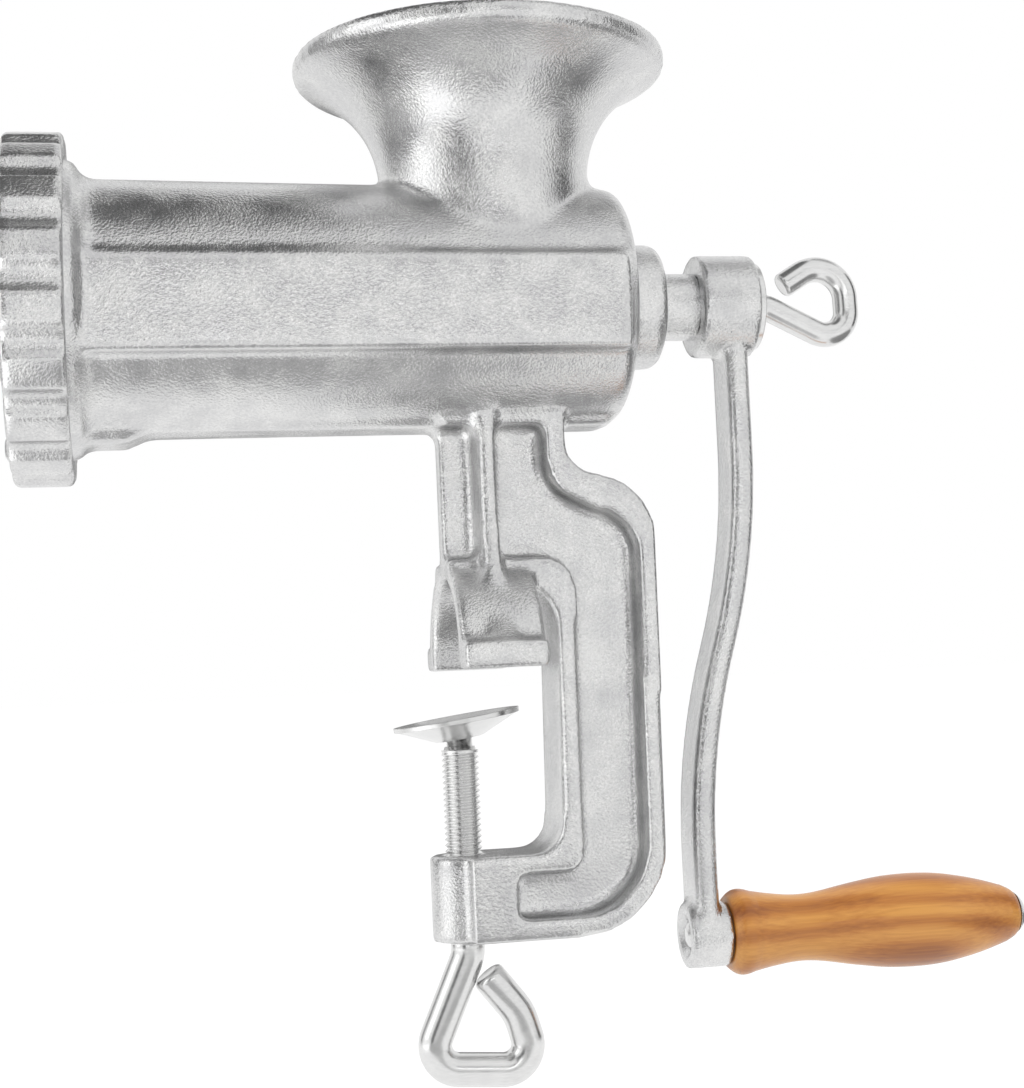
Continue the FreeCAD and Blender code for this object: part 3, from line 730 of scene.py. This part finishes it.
@dataclass(frozen=True)
class SoftCasting:
    """A cast piece, made from its own solid, with corners rounded as sand and tin leave them."""

    node: str
    body: str
    voxel: float
    rounds: int
    pull: float = 0.5

    def build(self, nodes: dict, finish: bpy.types.Material) -> None:
        """Lay the solid's surface on an even grid, average it, and let it stand for its node.

        Args:
            nodes: The frame's nodes by name.
            finish: Its metal.
        """
        made = merged_copy(nodes[self.node], self.node + "_cast")
        raw = made.data
        even = made.modifiers.new("even", "REMESH")
        even.mode = "VOXEL"
        even.voxel_size = self.voxel
        even.use_smooth_shade = True
        soft = made.modifiers.new("soft", "SMOOTH")
        soft.factor = self.pull
        soft.iterations = self.rounds
        shaped = made.evaluated_get(bpy.context.evaluated_depsgraph_get())
        done = bpy.data.meshes.new_from_object(shaped)
        made.modifiers.clear()
        made.data = done
        bpy.data.meshes.remove(raw)
        wear(done, finish)
        stand_for(made, self.node, self.body)
        LOG.info("softened %s to %d faces", self.node, len(done.polygons))


@dataclass(frozen=True)
class CleanCopy:
    """A node's own mesh with its doubles merged, so that no collapsed face is left in it."""

    node: str
    body: str
    slot: str
    crease: float = 35.0

    def build(self, nodes: dict, finish: bpy.types.Material) -> None:
        """Make the piece, smooth but for corners sharper than the crease, in degrees.

        Args:
            nodes: The frame's nodes by name.
            finish: Its metal.
        """
        made = merged_copy(nodes[self.node], self.node + "_clean")
        wear(made.data, finish)
        made.data.set_sharp_from_angle(angle=math.radians(self.crease))
        stand_for(made, self.node, self.body)


CASTINGS = (
    SoftCasting("body_casting", "frame", 1.3 * MM, 8),
    SoftCasting("crank_arm", "drive", 0.8 * MM, 8),
    SoftCasting("ring_nut", "ring", 0.8 * MM, 7),
)
PIN = CleanCopy("handle_pin", "drive", "plated_steel")
PLATED = SmoothMetal("plated_steel", (0.68, 0.68, 0.68), (0.76, 0.76, 0.755), 0.15)
GROUND = SmoothMetal("ground_steel", (0.38, 0.38, 0.39), (0.64, 0.64, 0.65), 0.26)
FINISHES = (
    (TinnedCasting(), ("body_casting", "ring_nut", "feed_screw", "crank_arm")),
    (GROUND, ("plate_key", "grinding_plate", "cross_knife", "knife_stud")),
    (PLATED, ("crank_washer", "thumb_screw", "handle_pin", "clamp_pad", "clamp_screw")),
    (VarnishedWood(), ("handle_grip",)),
    (Fibre(), ("thrust_washer",)),
)


def dress(nodes: dict) -> dict:
    """Give every node its material.

    Args:
        nodes: The frame's nodes by name.

    Returns:
        The material that each node wears, for the pieces that stand for it.
    """
    worn = {}
    for finish, names in FINISHES:
        material = finish.material()
        for name in names:
            worn[name] = material
            for place in nodes[name].material_slots:
                place.material = material
            LOG.info("dressed %s in %s", name, material.name)
    return worn


@dataclass(frozen=True)
class Panel:
    """An upright band on a circle round the object. Its angles are degrees from +X."""

    name: str
    centre: float
    width: float
    low: float
    high: float
    shade: float
    radius: float = 1.1
    spans: int = 48

    def surface(self) -> tuple[np.ndarray, np.ndarray]:
        """Its places and faces."""
        ends = np.array([-0.5, 0.5]) * self.width + self.centre
        angle = np.radians(np.linspace(*ends, self.spans + 1))
        edge = np.stack([np.cos(angle), np.sin(angle)], -1) * self.radius
        points = np.concatenate([np.insert(edge, 2, z, axis=1) for z in (self.low, self.high)])
        i = np.arange(self.spans)
        above = i + self.spans + 1
        return points, np.stack([i, i + 1, above + 1, above], -1)


@dataclass(frozen=True)
class Disc:
    """A level disc over or under the object."""

    name: str
    centre: tuple
    radius: float
    shade: float
    sides: int = 64

    def surface(self) -> tuple[np.ndarray, np.ndarray]:
        """Its places and its one face."""
        angle = circle(self.sides)
        rim = np.stack([np.cos(angle), np.sin(angle), np.zeros(self.sides)], -1)
        return np.array(self.centre) + self.radius * rim, np.arange(self.sides)[None]


@dataclass(frozen=True)
class Lamp:
    """A square area lamp."""

    name: str
    place: tuple
    size: float
    watts: float


@dataclass(frozen=True)
class Studio:
    """Camera, floor, soft lamps, and the grey and bright reflectors that the metal mirrors.

    The floor lies below the clamp screw's whole travel.
    """

    camera_mm: tuple = (-81.898, -507.779, -2.817)
    yaw: float = 10.988
    pitch: float = 4.008
    roll: float = -2.52
    lens: float = 63.27
    sensor: float = 36.0
    world_light: float = 0.55
    floor: float = -0.1402
    floor_reach: float = 30.0
    floor_colour: tuple = (0.96, 0.96, 0.96, 1.0)
    floor_glow: float = 1.1
    floor_glow_share: float = 0.85
    reflectors: tuple = (
        Panel("left_front", -124.0, 20.0, -0.140, 0.80, 0.10),
        Panel("right", -4.0, 24.0, -0.140, 0.80, 0.10),
        Panel("left_back", 150.0, 18.0, -0.140, 0.80, 0.25),
        Panel("back", 84.0, 22.0, -0.140, 0.80, 0.30),
        Panel("softbox", -168.0, 26.0, 0.05, 0.75, 1.9),
        Panel("front_low", -94.0, 36.0, -0.105, 0.05, 0.7),
        Panel("front_mid", -94.0, 40.0, 0.15, 0.29, 2.2),
        Panel("front_high", -92.0, 44.0, 0.30, 0.48, 0.16),
        Disc("ceiling_left", (-0.75, -0.10, 1.55), 1.05, 0.16),
        Disc("ceiling_right", (0.95, 0.20, 1.56), 0.55, 0.50),
        Disc("table_left", (-0.48, -0.20, -0.1386), 0.30, 1.8),
        Disc("table_right", (0.46, -0.06, -0.1110), 0.26, 0.28),
        Disc("table_front", (-0.02, -0.16, -0.1112), 0.12, 0.52),
    )
    lamp_target: tuple = (0.0, 0.0, 0.05)
    lamps: tuple = (
        Lamp("key", (-0.55, -0.60, 0.75), 0.40, 5.0),
        Lamp("fill", (0.70, -0.60, 0.35), 0.40, 2.0),
        Lamp("top", (0.05, 0.30, 0.95), 0.50, 4.0),
    )

    def set_camera(self) -> None:
        """Set the camera at the photograph's place. The sensor is the frame's long side."""
        yaw, pitch, roll = (math.radians(a) for a in (self.yaw, self.pitch, self.roll))
        level = math.cos(pitch)
        ahead = Vector((math.sin(yaw) * level, math.cos(yaw) * level, math.sin(pitch)))
        across = ahead.cross(Vector((0, 0, 1))).normalized()
        above = across.cross(ahead)
        right = across * math.cos(roll) + above * math.sin(roll)
        up = above * math.cos(roll) - across * math.sin(roll)
        turn = Matrix((right, up, -ahead)).transposed()
        data = bpy.data.cameras.new("camera")
        data.lens = self.lens
        data.sensor_width = self.sensor
        made = bpy.data.objects.new("camera", data)
        made.matrix_world = Matrix.Translation(Vector(self.camera_mm) * MM) @ turn.to_4x4()
        bpy.context.scene.collection.objects.link(made)
        bpy.context.scene.camera = made

    def set_world(self) -> None:
        """White where the camera, a mirror or glass sees it, and a softer light elsewhere."""
        world = bpy.data.worlds.new("studio")
        bpy.context.scene.world = world
        world.use_nodes = True
        g = Graph(world.node_tree)
        strength = self.world_light + g.shown() * (1.0 - self.world_light)
        light = g.node("ShaderNodeBackground", None, {"Color": WHITE, "Strength": strength})
        g.node("ShaderNodeOutputWorld", None, {"Surface": light})

    def set_floor(self) -> None:
        """A pale floor that glows a little where it is seen, and keeps the object's shadow."""
        pale, g = new_material("pale_floor")
        matt = g.node("ShaderNodeBsdfDiffuse", None, {"Color": self.floor_colour})
        glow = g.emission(self.floor_glow)
        share = g.shown() * self.floor_glow_share
        g.surface(g.node("ShaderNodeMixShader", None, {0: share, 1: matt, 2: glow}))
        square = np.array([[-1, -1, 0], [1, -1, 0], [1, 1, 0], [-1, 1, 0]]) * self.floor_reach
        floor = mesh_piece("floor", square + [0, 0, self.floor], np.arange(4)[None], pale)

    def set_reflector(self, reflector: Union[Panel, Disc]) -> None:
        """Make a surface that only mirrors see.

        Args:
            reflector: Its shape and how bright it is.
        """
        grey, g = new_material(reflector.name)
        g.surface(g.emission(reflector.shade))
        made = mesh_piece(reflector.name, *reflector.surface(), grey)
        made.visible_camera = False
        made.visible_shadow = False
        made.visible_diffuse = False

    def set_lamp(self, lamp: Lamp) -> None:
        """Add a lamp, aimed at the object and not mirrored by it.

        Args:
            lamp: Its place, size and power.
        """
        data = bpy.data.lights.new(lamp.name, "AREA")
        data.size = lamp.size
        data.energy = lamp.watts
        made = bpy.data.objects.new(lamp.name, data)
        made.location = lamp.place
        made.visible_glossy = False
        aim = Vector(self.lamp_target) - Vector(lamp.place)
        made.rotation_euler = aim.to_track_quat("-Z", "Y").to_euler()
        bpy.context.scene.collection.objects.link(made)

    def build(self) -> None:
        """Set up everything round the object."""
        bpy.context.scene.view_settings.view_transform = "Standard"
        self.set_camera()
        self.set_world()
        self.set_floor()
        for reflector in self.reflectors:
            self.set_reflector(reflector)
        for lamp in self.lamps:
            self.set_lamp(lamp)


def corners(box: tuple) -> list:
    """A box's two corners as plain numbers."""
    return [list(map(float, corner)) for corner in box]


def main() -> None:
    """Load the frame, dress it, build the new pieces and the studio."""
    logging.basicConfig(level=logging.INFO)
    for item in list(bpy.data.objects):
        bpy.data.objects.remove(item)
    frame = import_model()
    finishes = dress(frame["nodes"])
    for casting in CASTINGS:
        casting.build(frame["nodes"], finishes[casting.node])
    ClampScrew().build(finishes["clamp_screw"])
    ThumbScrew().build(finishes["thumb_screw"])
    TurnedGrip().build(finishes["handle_grip"])
    PIN.build(frame["nodes"], finishes[PIN.node])
    Studio().build()
    bpy.context.view_layer.update()


if __name__ == "__main__":
    main()
